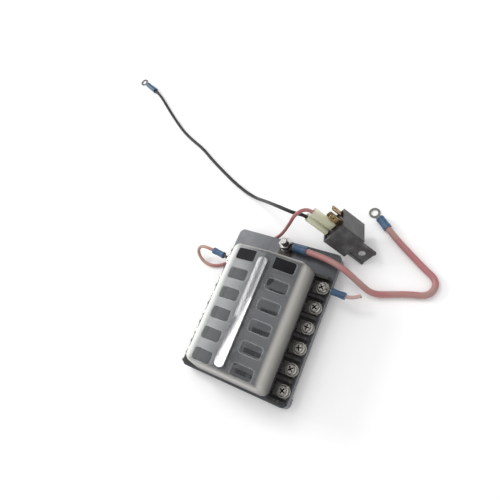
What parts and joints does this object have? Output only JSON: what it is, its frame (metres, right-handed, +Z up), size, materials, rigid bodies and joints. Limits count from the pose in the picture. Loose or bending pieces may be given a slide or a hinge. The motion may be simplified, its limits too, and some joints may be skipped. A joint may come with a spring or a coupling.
{
  "type": "fuse block",
  "caption": "Blade-fuse distribution block with a feed stud, screw terminals and a translucent lift-off cover, with its leads and a cube relay.",
  "frame": {"origin": "middle of the block's base where its feet stand", "axes": "+X to the right-hand terminals, +Y to the feed stud, +Z up"},
  "size_m": [0.3378, 0.2479, 0.0458],
  "materials": {
    "grey_plastic": "fine moulded grain",
    "frosted_cover": "frosted translucent polycarbonate with clear windows",
    "black_label": "satin tape",
    "black_plastic": "fine moulded grain",
    "tinned_metal": "dull tinned brass",
    "screw_steel": "nickel plated steel",
    "terminal_metal": "dull tinned copper",
    "blue_sleeve": "soft vinyl",
    "relay_black": "satin moulded",
    "blade_brass": "tarnished brass",
    "clear_boot": "yellowed clear vinyl",
    "pink_wire": "faded vinyl insulation",
    "red_wire": "faded vinyl insulation",
    "black_wire": "vinyl insulation",
    "pale_wire": "faded vinyl insulation"
  },
  "bodies": {
    "base": {"base_moulding": "grey_plastic", "barrier_strip_left": "black_plastic", "barrier_strip_right": "black_plastic", "bus_bar": "tinned_metal", "bus_clips": "tinned_metal", "circuit_terminals": "tinned_metal", "terminal_screws": "screw_steel", "screw_washers": "screw_steel", "feed_stud": "screw_steel", "stud_nut": "screw_steel", "stud_lock_washer": "screw_steel", "stud_flat_washer": "screw_steel", "feed_ring": "terminal_metal", "circuit_right_ring": "terminal_metal", "circuit_left_ring": "terminal_metal", "feed_end_ring": "terminal_metal", "ground_ring": "terminal_metal", "feed_sleeve": "blue_sleeve", "circuit_right_sleeve": "blue_sleeve", "circuit_left_sleeve": "blue_sleeve", "feed_end_sleeve": "blue_sleeve", "ground_sleeve": "blue_sleeve", "relay_case": "relay_black", "relay_base": "relay_black", "relay_blades": "blade_brass", "spade_red": "terminal_metal", "spade_black": "terminal_metal", "boot_red": "clear_boot", "boot_black": "clear_boot", "feed_wire": "pink_wire", "relay_lead": "red_wire", "ground_wire": "black_wire", "cut_wire_end": "pale_wire"},
    "cover": {"cover": "frosted_cover", "label_left": "black_label", "label_right": "black_label"}
  },
  "joints": [
    {"name": "cover_lift", "type": "slide", "parent": "base", "child": "cover", "axis": [0, 0, 1], "range_m": [0, 0.03]}
  ]
}
